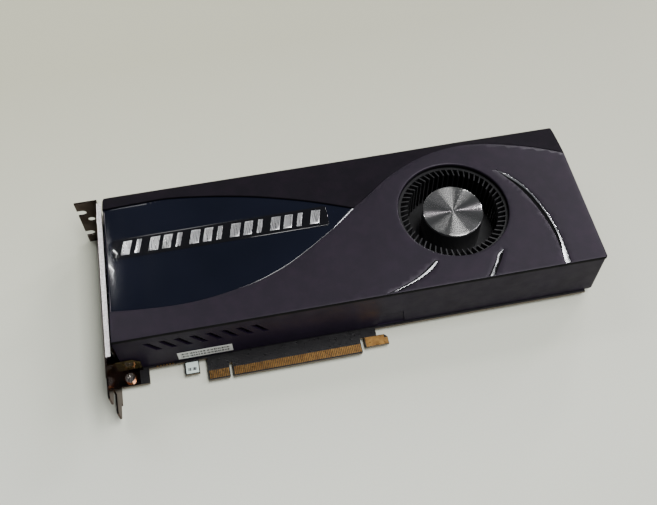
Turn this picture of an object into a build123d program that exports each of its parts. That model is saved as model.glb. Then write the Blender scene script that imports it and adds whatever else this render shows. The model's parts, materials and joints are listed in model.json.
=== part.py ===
"""Two-slot graphics card with a radial blower, built as an assembly of separate pieces.

Card coordinates used in the sketches, in millimetres:
  x runs from the outer face of the input/output bracket along the board,
  y runs from the tips of the edge connector towards the opposite long edge,
  z runs from the component side of the board up through the cooler.
The card lies on its back. The model's origin is under the middle of its box, at the resting level.
"""
import math
import os

from build123d import *

os.makedirs("parts", exist_ok=True)

# Board
board_thickness = 1.57
board_start = 2.2
board_end = 267.1
board_near = 13.3
board_far = 109.8
contact_pitch = 1.0
contact_width = 0.7
contact_length = 4.8
plating = 0.05
tab_start = 48.8
short_segment = 11.65
key_notch = 1.9
long_segment = 71.65
short_contacts = 11
long_contacts = 71
notch_depth = 8.2
latch_gap = 2.5
latch_length = 13.0
latch_neck = 7.0

# Bracket
sheet = 1.0
bracket_low = -4.1
bracket_high = 34.6
bracket_near = -4.0
bracket_far = 106.9
tongue_tip = -14.0
tongue_width = 10.2
slot_pitch = 20.32
first_tongue = 6.0
screw_tab_end = -11.8
screw_notch_radius = 2.3
screw_notch_centre = -9.0
screw_hole_radius = 2.1
first_screw_notch = 4.9

# Cooler cover
cover_start = 3.7
cover_end = 272.0
cover_near = 14.2
cover_far = 110.8
cover_low = 0.6
cover_top = 34.7
wall = 1.8
window_floor = 32.0
window_top = 33.6
roof_over_blower = 32.3

# Blower
fan_x = 198.2
fan_y = 61.6
intake_radius = 31.0
blade_count = 54
blade_inner = 25.5
blade_outer = 34.2
blade_low = 9.5
blade_high = 31.5
blade_ring_inner = 29.6
blade_ring_height = 1.6
impeller_low = 8.6
hub_radius = 17.1
hub_disc_radius = 16.85
hub_top = 32.0
hub_disc_thickness = 0.8
cup_low = 8.6
cup_top = 28.0
cup_radius = 15.8
cup_wall = 0.8
cup_roof = 1.0
magnet_height = 12.0
magnet_inner = 13.8
shaft_radius = 1.5
shaft_clearance = 0.05
sleeve_radius = 3.2
motor_screw_reach = 21.0

# Processor and cooler
gpu_x = 105.0
gpu_y = 62.0
thread_radius = 1.05
cooler_hole_reach = 29.2
plate_low = 2.0
plate_high = 3.6
chamber_low = 5.0
chamber_high = 8.0
fin_top = 29.0
fin_pitch = 2.0
fin_thickness = 0.4

origin_x = -(screw_tab_end + cover_end) / 2
origin_y = -(tongue_tip + cover_far) / 2
origin_z = -bracket_low


def level(z):
    """Plane parallel to the board at height z, with card x and y as its axes."""
    return Plane(origin=(origin_x, origin_y, origin_z + z), x_dir=(1, 0, 0), z_dir=(0, 0, 1))


def cross(x):
    """Plane across the card at x, with card y and z as its axes, facing +x."""
    return Plane(origin=(origin_x + x, origin_y, origin_z), x_dir=(0, 1, 0), z_dir=(1, 0, 0))


def along(y):
    """Plane along the card at y, with card x and z as its axes, facing -y."""
    return Plane(origin=(origin_x, origin_y + y, origin_z), x_dir=(1, 0, 0), z_dir=(0, -1, 0))


def plate(x_low, x_high, y_low, y_high):
    """Rectangle between two corners in the sketch being drawn."""
    with Locations(((x_low + x_high) / 2, (y_low + y_high) / 2)):
        Rectangle(x_high - x_low, y_high - y_low)


def hole(x, y, radius):
    """Round cut in the sketch being drawn."""
    with Locations((x, y)):
        Circle(radius, mode=Mode.SUBTRACT)


def save(piece, name):
    """Label a finished piece and write it."""
    piece.part.label = name
    export_step(piece.part, "parts/" + name + ".step")


cooler_holes = [
    (gpu_x + dx * cooler_hole_reach, gpu_y + dy * cooler_hole_reach)
    for dx in (-1, 1)
    for dy in (-1, 1)
]
plate_screw_places = [(60, 22), (60, 103), (146, 21), (146, 104), (212, 22), (186, 103)]
cover_post_places = [(10, 18.4), (10, 106), (262, 19.4), (262, 103)]
bracket_ear_places = [(7, 8.6), (7, 63.5)]
fan_centre = (fan_x, fan_y)

# ---------------------------------------------------------------- board
short_end = tab_start + short_segment
long_start = short_end + key_notch
long_end = long_start + long_segment
latch_start = long_end + latch_gap
latch_end = latch_start + latch_length
neck_end = latch_start + latch_neck
lead_in = 0.6

with BuildPart() as pcb:
    with BuildSketch(level(-board_thickness)):
        with BuildLine():
            Polyline(
                (board_start, 4.7),
                (17.0, 4.7),
                (17.0, board_near),
                (36.5, board_near),
                (36.5, 5.5),
                (44.3, 5.5),
                (44.3, board_near),
                (tab_start, board_near),
                (tab_start, lead_in),
                (tab_start + lead_in, 0),
                (short_end - lead_in, 0),
                (short_end, lead_in),
                (short_end, notch_depth),
                (long_start, notch_depth),
                (long_start, lead_in),
                (long_start + lead_in, 0),
                (long_end - lead_in, 0),
                (long_end, lead_in),
                (long_end, 9.0),
                (latch_start, 9.0),
                (latch_start, 2.9),
                (latch_end, 2.9),
                (latch_end, 7.2),
                (latch_end - 1.8, 9.0),
                (neck_end, 9.0),
                (neck_end, board_near),
                (board_end, board_near),
                (board_end, board_far),
                (board_start, board_far),
                close=True,
            )
        make_face()
        for x, y in cooler_holes:
            hole(x, y, 1.7)
        for x, y in plate_screw_places + cover_post_places:
            hole(x, y, 1.15)
        for x, y in bracket_ear_places:
            hole(x, y, 1.6)
    extrude(amount=board_thickness)
save(pcb, "pcb")

with BuildPart() as edge_contacts:
    for side in (0, -board_thickness - plating):
        with BuildSketch(level(side)):
            with Locations((tab_start + short_segment / 2, 0.8 + contact_length / 2)):
                with GridLocations(contact_pitch, 1, short_contacts, 1):
                    Rectangle(contact_width, contact_length)
            with Locations((long_start + long_segment / 2, 0.8 + contact_length / 2)):
                with GridLocations(contact_pitch, 1, long_contacts, 1):
                    Rectangle(contact_width, contact_length)
            plate(latch_start + 0.2, latch_end - 0.2, 3.1, 7.0)
            plate(latch_start + 0.2, latch_end - 2.0, 7.0, 8.8)
            with Locations((26.0, board_near + 0.45)):
                with GridLocations(1.7, 1, 6, 1):
                    Rectangle(1.0, 0.7)
        extrude(amount=plating)
save(edge_contacts, "edge_contacts")

bridge_tabs = [34.0, 60.0]
with BuildPart() as bridge_contacts:
    for side in (0, -board_thickness - plating):
        with BuildSketch(level(side)):
            for x in bridge_tabs:
                with Locations((x, board_far - 2.6)):
                    with GridLocations(contact_pitch, 1, 13, 1):
                        Rectangle(contact_width, 4.0)
        extrude(amount=plating)
save(bridge_contacts, "bridge_contacts")

# ---------------------------------------------------------------- bracket
port_width = 16.5
port_low = 0.8
port_high = 7.4
port_centres = [30.2, 49.2, 77.8]
av_centre = 95.5
av_width = 15.0
port_gap = 0.3
vent_width = 3.6
vent_pitch = 6.2
bend_radius = 0.9
flange_face = 13.2
flange_thickness = 0.8
ear_length = 12.0
ear_half = 3.6
ear_hole_radius = 1.6
thin_sheet = 0.8
lip_width = 3.2
vent_rows = (15.2, 26.4)
vent_columns = 14

with BuildPart() as io_bracket:
    with BuildSketch(cross(0)):
        plate(bracket_near, bracket_far, bracket_low, bracket_high)
        for slot in range(2):
            middle = first_tongue + slot * slot_pitch
            half = tongue_width / 2
            with BuildLine():
                Polyline(
                    (bracket_near, middle - half - 0.8),
                    (tongue_tip + 1.2, middle - half),
                    (tongue_tip, middle - half + 1.2),
                    (tongue_tip, middle + half - 1.2),
                    (tongue_tip + 1.2, middle + half),
                    (bracket_near, middle + half + 0.8),
                    close=True,
                )
            make_face()
        for y in port_centres:
            with Locations((y, (port_low + port_high) / 2)):
                Rectangle(
                    port_width + 2 * port_gap, port_high - port_low + 2 * port_gap, mode=Mode.SUBTRACT
                )
        with Locations((av_centre, (port_low + port_high) / 2)):
            Rectangle(av_width + 2 * port_gap, port_high - port_low + 2 * port_gap, mode=Mode.SUBTRACT)
        for middle in vent_rows:
            with Locations((59.0, middle)):
                with GridLocations(vent_pitch, 1, vent_columns, 1):
                    SlotOverall(9.0, vent_width, rotation=90, mode=Mode.SUBTRACT)
    extrude(amount=sheet)
    # lip along the upper edge, turned over the end of the cover, with its bend rounded
    with BuildSketch(level(bracket_high)):
        plate(0, lip_width, 7.0, 104.0)
    extrude(amount=-thin_sheet)
    upper_edges = io_bracket.edges().filter_by(Axis.Y).group_by(Axis.Z)[-1]
    fillet(upper_edges.sort_by(Axis.X)[0], bend_radius)
    # tab with the case screw notches, turned outwards
    with BuildSketch(along(bracket_far)):
        plate(screw_tab_end, sheet, bracket_low, bracket_high)
        for slot in range(2):
            middle = first_screw_notch + slot * slot_pitch
            with Locations((screw_notch_centre, middle)):
                Circle(screw_notch_radius, mode=Mode.SUBTRACT)
            with Locations((screw_tab_end, middle)):
                Rectangle(
                    2 * (screw_notch_centre - screw_tab_end), 2 * screw_notch_radius, mode=Mode.SUBTRACT
                )
        hole(-5.5, 18.0, screw_hole_radius)
        with Locations((-0.9, bracket_low)):
            Rectangle(1.8, 3.6, mode=Mode.SUBTRACT)
    extrude(amount=sheet)
    # ears that lie on the board
    for x, y in bracket_ear_places:
        with BuildSketch(level(0)):
            plate(0, ear_length, y - ear_half, y + ear_half)
            hole(x, y, ear_hole_radius)
        extrude(amount=thin_sheet)
    # upright flange that stands on the first ear, in front of the cover
    with BuildSketch(along(flange_face)):
        with BuildLine():
            Polyline((0, 0), (14.0, 0), (14.0, 9.0), (10.0, 12.5), (0, 12.5), close=True)
        make_face()
    extrude(amount=-flange_thickness)
    with BuildSketch(level(0)):
        plate(0, ear_length, bracket_ear_places[0][1], flange_face + flange_thickness)
        hole(*bracket_ear_places[0], ear_hole_radius)
    extrude(amount=thin_sheet)
save(io_bracket, "io_bracket")


def pan_screws(places, top, head_radius, head_height, shank_radius, shank_length, drive_radius):
    """Screws whose heads sit on the back of the board, or on an ear when top is True."""
    head_level = thin_sheet if top else -board_thickness
    outward = 1 if top else -1
    with BuildPart() as screws:
        for x, y in places:
            with BuildSketch(level(head_level)):
                with Locations((x, y)):
                    Circle(head_radius)
            extrude(amount=outward * head_height)
            with BuildSketch(level(head_level)):
                with Locations((x, y)):
                    Circle(shank_radius)
            extrude(amount=-outward * shank_length)
            with BuildSketch(level(head_level + outward * head_height)):
                with Locations((x, y)):
                    Rectangle(drive_radius * 2, drive_radius * 0.5)
                    Rectangle(drive_radius * 0.5, drive_radius * 2)
            extrude(amount=-outward * head_height * 0.5, mode=Mode.SUBTRACT)
    return screws


bracket_screws = pan_screws(bracket_ear_places, True, 2.7, 1.9, 1.5, 2.3, 1.3)
save(bracket_screws, "bracket_screws")

# ---------------------------------------------------------------- video sockets
socket_face = 0.2
socket_back = 18.0
shell_back = 3.0
shell_side = 0.4
shell_roof = 0.6


def socket_shell(centres, width):
    """Folded metal shells, open towards the bracket's outer face."""
    with BuildPart() as shells:
        for y in centres:
            half = width / 2
            with BuildSketch(cross(socket_face)):
                plate(y - half, y + half, port_low, port_high)
            extrude(amount=socket_back)
            half -= shell_side
            with BuildSketch(cross(socket_face)):
                plate(y - half, y + half, port_low + shell_roof, port_high - shell_roof)
            extrude(amount=socket_back - shell_back, mode=Mode.SUBTRACT)
    return shells


def socket_tongue(centres, width):
    """Moulded tongues that carry the socket contacts."""
    with BuildPart() as tongues:
        for y in centres:
            with BuildSketch(cross(1.6)):
                plate(y - width / 2, y + width / 2, 3.5, 4.7)
            extrude(amount=socket_back - 4.4)
    return tongues


def socket_base(centres, width):
    """Feet of the socket shells, standing on the board."""
    with BuildPart() as bases:
        for y in centres:
            with BuildSketch(level(0)):
                plate(4.0, socket_back, y - width / 2 + 1, y + width / 2 - 1)
            extrude(amount=port_low)
    return bases


display_socket_shells = socket_shell(port_centres, port_width)
save(display_socket_shells, "display_socket_shells")
display_socket_tongues = socket_tongue(port_centres, 12.4)
save(display_socket_tongues, "display_socket_tongues")
av_socket_shell = socket_shell([av_centre], av_width)
save(av_socket_shell, "av_socket_shell")
av_socket_tongue = socket_tongue([av_centre], 11.0)
save(av_socket_tongue, "av_socket_tongue")
socket_bases = socket_base(port_centres + [av_centre], av_width)
save(socket_bases, "socket_bases")

# ---------------------------------------------------------------- processor, memory and supply
package_top = 1.2
die_top = 2.0
memory_top = 1.1

with BuildPart() as gpu_substrate:
    with BuildSketch(level(0)):
        with Locations((gpu_x, gpu_y)):
            Rectangle(45, 45)
    extrude(amount=package_top)
save(gpu_substrate, "gpu_substrate")

with BuildPart() as gpu_die:
    with BuildSketch(level(package_top)):
        with Locations((gpu_x, gpu_y)):
            Rectangle(25, 19)
    extrude(amount=die_top - package_top)
save(gpu_die, "gpu_die")

memory_rows = [(gpu_x - 39, gpu_y + dy) for dy in (-24, -8, 8, 24)]
memory_rows += [(gpu_x + 39, gpu_y + dy) for dy in (-24, -8, 8)]
memory_above = [(gpu_x + dx, gpu_y + 36) for dx in (-16, 0, 16)]
memory_below = [(gpu_x + dx, gpu_y - 36) for dx in (-16, 0)]


def chips(low, height, shrink):
    """Blocks over each memory place, turned to face the processor."""
    with BuildPart() as blocks:
        with BuildSketch(level(low)):
            with Locations(*memory_rows):
                Rectangle(12 - shrink, 14 - shrink)
            with Locations(*(memory_above + memory_below)):
                Rectangle(14 - shrink, 12 - shrink)
        extrude(amount=height)
    return blocks


memory_chips = chips(0, memory_top, 0)
save(memory_chips, "memory_chips")
thermal_pads = chips(memory_top, plate_low - memory_top, 1.0)
save(thermal_pads, "thermal_pads")

phase_count = 7
phase_pitch = 10
with BuildPart() as inductors:
    with BuildSketch(level(0)):
        with Locations((156.4, gpu_y)):
            with GridLocations(1, phase_pitch, 1, phase_count):
                RectangleRounded(7, 8, 0.8)
    extrude(amount=4.6)
    chamfer(inductors.faces().sort_by(Axis.Z)[-phase_count:].edges(), 0.4)
save(inductors, "inductors")

with BuildPart() as power_stages:
    with BuildSketch(level(0)):
        with Locations((166.2, gpu_y)):
            with GridLocations(1, phase_pitch, 1, phase_count):
                Rectangle(5, 6)
    extrude(amount=0.9)
save(power_stages, "power_stages")

can_foot = 0.8
can_radius = 4.0
can_height = 9.0
can_bank = (250, 56)
with BuildPart() as capacitors:
    with BuildSketch(level(0)):
        with Locations(can_bank):
            with GridLocations(10.5, 12, 2, 5):
                Rectangle(2 * can_radius + 0.2, 2 * can_radius + 0.2)
    extrude(amount=can_foot)
    with BuildSketch(level(can_foot)):
        with Locations(can_bank):
            with GridLocations(10.5, 12, 2, 5):
                Circle(can_radius)
    extrude(amount=can_height)
save(capacitors, "capacitors")

header_top = 5.4
header_floor = 0.8
header_pin_pitch = 1.6
with BuildPart() as fan_header:
    with BuildSketch(level(0)):
        plate(240.0, 249.0, 20.0, 25.6)
    extrude(amount=header_top)
    with BuildSketch(level(header_top)):
        plate(240.8, 248.2, 20.8, 24.2)
    extrude(amount=header_floor - header_top, mode=Mode.SUBTRACT)
    with BuildSketch(level(header_floor)):
        with Locations((244.5, 22.5)):
            with GridLocations(header_pin_pitch, 1, 4, 1):
                Rectangle(0.5, 0.5)
    extrude(amount=3.6)
save(fan_header, "fan_header")

# ---------------------------------------------------------------- supply sockets
pin_pitch = 4.2
row_pitch = 4.6
power_rows = 2
power_low = 0.4
power_height = 10.2
power_mouth = 109.6
power_back = 97.0
well = 3.5
well_depth = 9.0
latch_ramp_half = 1.9
latch_ramp_height = 1.4
latch_ramp_length = 3.0


def power_socket(middle, columns):
    """Moulded socket with one square well for each pin, open towards +y, with a latch ramp on top."""
    width = pin_pitch * (columns - 1) + 5.4
    centre_z = power_low + power_height / 2
    with BuildPart() as body:
        with BuildSketch(along(power_mouth)):
            plate(middle - width / 2, middle + width / 2, power_low, power_low + power_height)
        extrude(amount=power_mouth - power_back)
        with BuildSketch(along(power_mouth)):
            with Locations((middle, centre_z)):
                with GridLocations(pin_pitch, row_pitch, columns, power_rows):
                    Rectangle(well, well)
        extrude(amount=well_depth, mode=Mode.SUBTRACT)
        roof = power_low + power_height
        with BuildSketch(along(power_mouth)):
            plate(middle - latch_ramp_half, middle + latch_ramp_half, roof, roof + latch_ramp_height)
        extrude(amount=latch_ramp_length)
        with BuildSketch(level(power_low)):
            with Locations((middle, power_back + 3)):
                with GridLocations(width - 3, 1, 2, 1):
                    Circle(1.2)
        extrude(amount=-power_low)
    return body


eight_pin_middle = 244.0
six_pin_middle = 221.5
power_socket_8pin = power_socket(eight_pin_middle, 4)
save(power_socket_8pin, "power_socket_8pin")
power_socket_6pin = power_socket(six_pin_middle, 3)
save(power_socket_6pin, "power_socket_6pin")

with BuildPart() as power_pins:
    for middle, columns in ((eight_pin_middle, 4), (six_pin_middle, 3)):
        with BuildSketch(along(power_mouth - 1.6)):
            with Locations((middle, power_low + power_height / 2)):
                with GridLocations(pin_pitch, row_pitch, columns, power_rows):
                    Circle(0.55)
        extrude(amount=7.4)
save(power_pins, "power_pins")

# ---------------------------------------------------------------- plates and fins
post_radius = 2.4
with BuildPart() as base_plate:
    with BuildSketch(level(plate_low)):
        plate(22.0, 234.0, 16.6, 106.5)
        # window around the processor
        with Locations((gpu_x, gpu_y)):
            Rectangle(50, 50, mode=Mode.SUBTRACT)
        for x, y in cooler_holes:
            hole(x, y, 3.6)
        # windows over the inductors and the supply sockets
        with Locations((160, gpu_y)):
            Rectangle(21, 72, mode=Mode.SUBTRACT)
        with Locations((225, 104)):
            Rectangle(60, 18, mode=Mode.SUBTRACT)
        for x, y in plate_screw_places:
            hole(x, y, thread_radius)
    extrude(amount=plate_high - plate_low)
    for x, y in plate_screw_places:
        with BuildSketch(level(0)):
            with Locations((x, y)):
                Circle(post_radius)
            hole(x, y, thread_radius)
        extrude(amount=plate_low)
save(base_plate, "base_plate")

cooler_post_radius = 3.0
cooler_thread_radius = 1.45
cooler_post_foot = 0.2

with BuildPart() as vapor_chamber:
    with BuildSketch(level(die_top)):
        with Locations((gpu_x, gpu_y)):
            Rectangle(46, 46)
    extrude(amount=chamber_low - die_top)
    with BuildSketch(level(chamber_low)):
        plate(30.0, 150.0, 20.0, 104.0)
    extrude(amount=chamber_high - chamber_low)
    for x, y in cooler_holes:
        with BuildSketch(level(cooler_post_foot)):
            with Locations((x, y)):
                Circle(cooler_post_radius)
        extrude(amount=chamber_low - cooler_post_foot)
        with BuildSketch(level(cooler_post_foot)):
            with Locations((x, y)):
                Circle(cooler_thread_radius)
        extrude(amount=5.0, mode=Mode.SUBTRACT)
save(vapor_chamber, "vapor_chamber")

fin_count = 42
fin_start = 24.0
fin_length = 126.0
fin_foot = 0.6
with BuildPart() as fin_stack:
    with BuildSketch(cross(fin_start)):
        plate(20.5, 103.5, chamber_high, chamber_high + fin_foot)
        with Locations((gpu_y, (chamber_high + fin_top) / 2)):
            with GridLocations(fin_pitch, 1, fin_count, 1):
                Rectangle(fin_thickness, fin_top - chamber_high)
        plate(20.8, 103.2, fin_top - fin_thickness, fin_top)
    extrude(amount=fin_length)
save(fin_stack, "fin_stack")

# ---------------------------------------------------------------- blower motor
motor_plate = 1.2
motor_boss_height = 16.0
motor_screw_places = []
for spoke in range(3):
    angle = math.radians(90 + 120 * spoke)
    across, up = motor_screw_reach * math.cos(angle), motor_screw_reach * math.sin(angle)
    motor_screw_places.append((fan_x + across, fan_y + up))
stator_low = 6.4
stator_high = 20.0

with BuildPart() as motor_base:
    with BuildSketch(level(plate_high)):
        with Locations(fan_centre):
            Circle(20.0)
        for x, y in motor_screw_places:
            with Locations((x, y)):
                Circle(4.0)
            hole(x, y, 1.3)
    extrude(amount=motor_plate)
    with BuildSketch(level(plate_high + motor_plate)):
        with Locations(fan_centre):
            Circle(4.6)
            Circle(sleeve_radius, mode=Mode.SUBTRACT)
    extrude(amount=motor_boss_height)
save(motor_base, "motor_base")

with BuildPart() as motor_screws:
    for x, y in motor_screw_places:
        with BuildSketch(level(plate_high + motor_plate)):
            with Locations((x, y)):
                Circle(2.2)
                Rectangle(2.4, 0.6, mode=Mode.SUBTRACT)
        extrude(amount=1.1)
        with BuildSketch(level(plate_high)):
            with Locations((x, y)):
                Circle(1.2)
        extrude(amount=motor_plate)
save(motor_screws, "motor_screws")

scroll_inner = 35.2
scroll_wall = 1.0
scroll_start = -70
scroll_sweep = 210
with BuildPart() as blower_scroll:
    with BuildSketch(level(plate_high)):
        with BuildLine():
            inner_arc = CenterArc(fan_centre, scroll_inner, scroll_start, scroll_sweep)
            outer_arc = CenterArc(fan_centre, scroll_inner + scroll_wall, scroll_start, scroll_sweep)
            Line(inner_arc @ 0, outer_arc @ 0)
            Line(inner_arc @ 1, outer_arc @ 1)
        make_face()
    extrude(amount=roof_over_blower - plate_high)
save(blower_scroll, "blower_scroll")

sleeve_low = 7.0
sleeve_length = 13.5
with BuildPart() as bearing_sleeve:
    with BuildSketch(level(sleeve_low)):
        with Locations(fan_centre):
            Circle(sleeve_radius)
            Circle(shaft_radius + shaft_clearance, mode=Mode.SUBTRACT)
    extrude(amount=sleeve_length)
save(bearing_sleeve, "bearing_sleeve")

stator_teeth = 6
with BuildPart() as stator:
    with BuildSketch(level(stator_low)):
        with Locations(fan_centre):
            Circle(7.0)
            Circle(4.65, mode=Mode.SUBTRACT)
            with PolarLocations(9.4, stator_teeth):
                Rectangle(7.6, 4.6)
            with PolarLocations(12.4, stator_teeth):
                Rectangle(1.4, 8.6)
    extrude(amount=stator_high - stator_low)
save(stator, "stator")

shaft_low = 6.6
with BuildPart() as shaft:
    with BuildSketch(level(shaft_low)):
        with Locations(fan_centre):
            Circle(shaft_radius)
    extrude(amount=cup_top - shaft_low)
save(shaft, "shaft")

with BuildPart() as rotor_cup:
    with BuildSketch(level(cup_low)):
        with Locations(fan_centre):
            Circle(cup_radius)
            Circle(cup_radius - cup_wall, mode=Mode.SUBTRACT)
    extrude(amount=cup_top - cup_low)
    with BuildSketch(level(cup_top - cup_roof)):
        with Locations(fan_centre):
            Circle(cup_radius)
            Circle(shaft_radius, mode=Mode.SUBTRACT)
    extrude(amount=cup_roof)
save(rotor_cup, "rotor_cup")

with BuildPart() as magnet_ring:
    with BuildSketch(level(cup_low + 0.4)):
        with Locations(fan_centre):
            Circle(cup_radius - cup_wall)
            Circle(magnet_inner, mode=Mode.SUBTRACT)
    extrude(amount=magnet_height)
save(magnet_ring, "magnet_ring")

# ---------------------------------------------------------------- impeller
blade_lean = math.radians(20)
blade_thickness = 0.7
cup_gap = 0.05


def blade_side(offset):
    """Points of one face of the first blade, from its inner edge outwards."""
    points = []
    for radius in (blade_inner, (blade_inner + blade_outer) / 2, blade_outer):
        turn = math.tan(blade_lean) * math.log(radius / blade_inner) + offset / radius
        points.append((radius * math.cos(turn), radius * math.sin(turn)))
    return points


first_face = blade_side(-blade_thickness / 2)
second_face = blade_side(blade_thickness / 2)
with BuildSketch() as blade:
    with BuildLine():
        ThreePointArc(*first_face)
        Line(first_face[2], second_face[2])
        ThreePointArc(*second_face)
        Line(second_face[0], first_face[0])
    make_face()

with BuildPart() as impeller:
    with BuildSketch(level(impeller_low)):
        with Locations(fan_centre):
            Circle(blade_outer)
            Circle(cup_radius + cup_gap, mode=Mode.SUBTRACT)
    extrude(amount=blade_low - impeller_low)
    with BuildSketch(level(blade_low)):
        with Locations(fan_centre):
            Circle(hub_radius)
            Circle(cup_radius + cup_gap, mode=Mode.SUBTRACT)
    extrude(amount=cup_top - blade_low)
    with BuildSketch(level(cup_top)):
        with Locations(fan_centre):
            Circle(hub_radius)
    extrude(amount=hub_top - hub_disc_thickness - cup_top)
    with BuildSketch(level(blade_low)):
        with Locations(fan_centre):
            with PolarLocations(0, blade_count):
                add(blade.sketch)
    extrude(amount=blade_high - blade_low)
    # ring that ties the blades together at their open ends
    with BuildSketch(level(blade_high - blade_ring_height)):
        with Locations(fan_centre):
            Circle(blade_outer)
            Circle(blade_ring_inner, mode=Mode.SUBTRACT)
    extrude(amount=blade_ring_height)
save(impeller, "impeller")

with BuildPart() as hub_disc:
    with BuildSketch(level(hub_top - hub_disc_thickness)):
        with Locations(fan_centre):
            Circle(hub_disc_radius)
    extrude(amount=hub_disc_thickness)
    chamfer(hub_disc.edges().sort_by(Axis.Z)[-1], 0.3)
save(hub_disc, "hub_disc")

# ---------------------------------------------------------------- cover
window_tip = (143.6, 73.0)
strip_start = 84.0
vent_count = 8


def window_outline(gap):
    """Leaf-shaped outline of the gloss window, inset by gap."""
    with BuildSketch() as outline:
        with BuildLine():
            upper = Spline(
                (cover_start + gap, 99.4 - gap),
                (45.0, 99.9 - gap),
                (81.6, 93.7 - gap),
                (114.6, 84.3 - gap),
                (window_tip[0] - 2 * gap, window_tip[1]),
            )
            lower = Spline(
                upper @ 1,
                (128.5 - gap, 60.9 + gap),
                (104.6 - gap, 45.4 + gap),
                (73.8, 34.1 + gap),
                (40.5, 30.2 + gap),
                (cover_start + gap, 33.1 + gap),
            )
            Line(lower @ 1, upper @ 0)
        make_face()
    return outline.sketch


def trim_outline(outer, inner):
    """Blade-shaped trim outline between two smooth sides that meet at the first point."""
    with BuildSketch() as outline:
        with BuildLine():
            first = Spline(*outer)
            second = Spline(outer[0], *inner)
            Line(first @ 1, second @ 1)
        make_face()
    return outline.sketch


cover_bevel = 1.3
bevel_foot = cover_top - cover_bevel
trim_end = cover_near + cover_bevel
long_outer = [(227.9, 83.8), (242.2, 67.6), (249.8, 41.4), (250.4, trim_end)]
long_inner = [(241.0, 67.6), (247.8, 41.4), (247.3, trim_end)]
mid_outer = [(217.6, 30.2), (212.6, 24.6), (208.3, trim_end)]
mid_inner = [(211.0, 24.9), (205.3, trim_end)]
short_outer = [(181.4, 29.4), (168.6, 20.8), (152.6, trim_end)]
short_inner = [(168.0, 22.2), (149.6, trim_end)]
trims = {
    "trim_long": (long_outer, long_inner),
    "trim_mid": (mid_outer, mid_inner),
    "trim_short": (short_outer, short_inner),
}
trim_floor = 33.3
trim_top = 34.5
post_top_near = 33.0
post_top_far = 30.8
post_hole_depth = 12.0
cover_post_radius = 2.6
raised_foot = 25.0
end_corner = 1.6
# the hollow has one roof over the fins, one over the blower and one beyond the crease
fins_end = 150.0
crease_side = 98.0
roof_over_fins = 30.2
roof_beyond_crease = 29.2
vent_step = 8.2
plug_cut_start = 212.0
plug_cut_end = 256.0
plug_cut_top = 16.6
bridge_cut_half = 8.5
bridge_cut_top = 6.0

with BuildPart() as shroud:
    with BuildSketch(cross(cover_start)):
        with BuildLine():
            Polyline(
                (cover_far, 29.6),
                (cover_far, cover_low),
                (cover_near, cover_low),
                (cover_near, bevel_foot),
                (cover_near + cover_bevel, cover_top),
                (strip_start, cover_top),
            )
            TangentArc((strip_start, cover_top), (109.4, 31.3), tangent=(1, 0))
            Line((109.4, 31.3), (cover_far, 29.6))
        make_face()
    extrude(amount=cover_end - cover_start)
    # raised body, bounded by the sweeping crease
    with BuildSketch(level(raised_foot)):
        with BuildLine():
            crease = Spline(
                (146.0, 74.2),
                (165.6, 89.5),
                (187.8, 100.6),
                (216.3, 104.0),
                (242.8, 98.9),
                (cover_end, 87.4),
            )
            Polyline(crease @ 1, (cover_end, 60.0), (146.0, 60.0), crease @ 0)
        make_face()
    extrude(amount=cover_top - raised_foot)
    vertical = shroud.edges().filter_by(Axis.Z).group_by(Axis.X)[-1]
    fillet(vertical, end_corner)
    # hollow
    with BuildSketch(level(cover_low)):
        plate(cover_start, fins_end, cover_near + wall, cover_far - wall)
    extrude(amount=roof_over_fins - cover_low, mode=Mode.SUBTRACT)
    with BuildSketch(level(cover_low)):
        plate(fins_end, cover_end - wall, cover_near + wall, crease_side)
    extrude(amount=roof_over_blower - cover_low, mode=Mode.SUBTRACT)
    with BuildSketch(level(cover_low)):
        plate(fins_end, cover_end - wall, crease_side, cover_far - wall)
    extrude(amount=roof_beyond_crease - cover_low, mode=Mode.SUBTRACT)
    # blower intake
    with BuildSketch(level(cover_top)):
        with Locations(fan_centre):
            Circle(intake_radius)
    extrude(amount=-5.0, mode=Mode.SUBTRACT)
    # seat of the window
    with BuildSketch(level(window_floor)):
        add(window_outline(0))
    extrude(amount=5.0, mode=Mode.SUBTRACT)
    # grooves of the trims
    for outer, inner in trims.values():
        with BuildSketch(level(trim_floor)):
            add(trim_outline(outer, inner))
        extrude(amount=3.0, mode=Mode.SUBTRACT)
    # slanted vents in the near wall
    with BuildSketch(along(cover_near - 1)):
        for vent in range(vent_count):
            shift = vent_step * vent
            with BuildLine():
                Polyline(
                    (18.2 + shift, 27.0),
                    (21.6 + shift, 27.0),
                    (27.8 + shift, 18.0),
                    (24.4 + shift, 18.0),
                    close=True,
                )
            make_face()
    extrude(amount=-wall - 2, mode=Mode.SUBTRACT)
    # shallow recess at the foot of the near wall
    with BuildSketch(along(cover_near)):
        with BuildLine():
            Polyline((145.0, 0), (146.5, 13.0), (159.5, 13.0), (161.0, 0), close=True)
        make_face()
    extrude(amount=-wall / 2, mode=Mode.SUBTRACT)
    # cut-outs in the far wall for the supply plugs and the link bridges
    with BuildSketch(along(cover_far - wall - 0.5)):
        plate(plug_cut_start, plug_cut_end, 0, plug_cut_top)
        for x in bridge_tabs:
            plate(x - bridge_cut_half, x + bridge_cut_half, 0, bridge_cut_top)
    extrude(amount=-wall - 2, mode=Mode.SUBTRACT)
    # screw posts
    for x, y in cover_post_places:
        with BuildSketch(level(0)):
            with Locations((x, y)):
                Circle(cover_post_radius)
        extrude(amount=post_top_near if y < gpu_y else post_top_far)
        with BuildSketch(level(0)):
            with Locations((x, y)):
                Circle(thread_radius)
        extrude(amount=post_hole_depth, mode=Mode.SUBTRACT)
save(shroud, "shroud")

window_gap = 0.15


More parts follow.
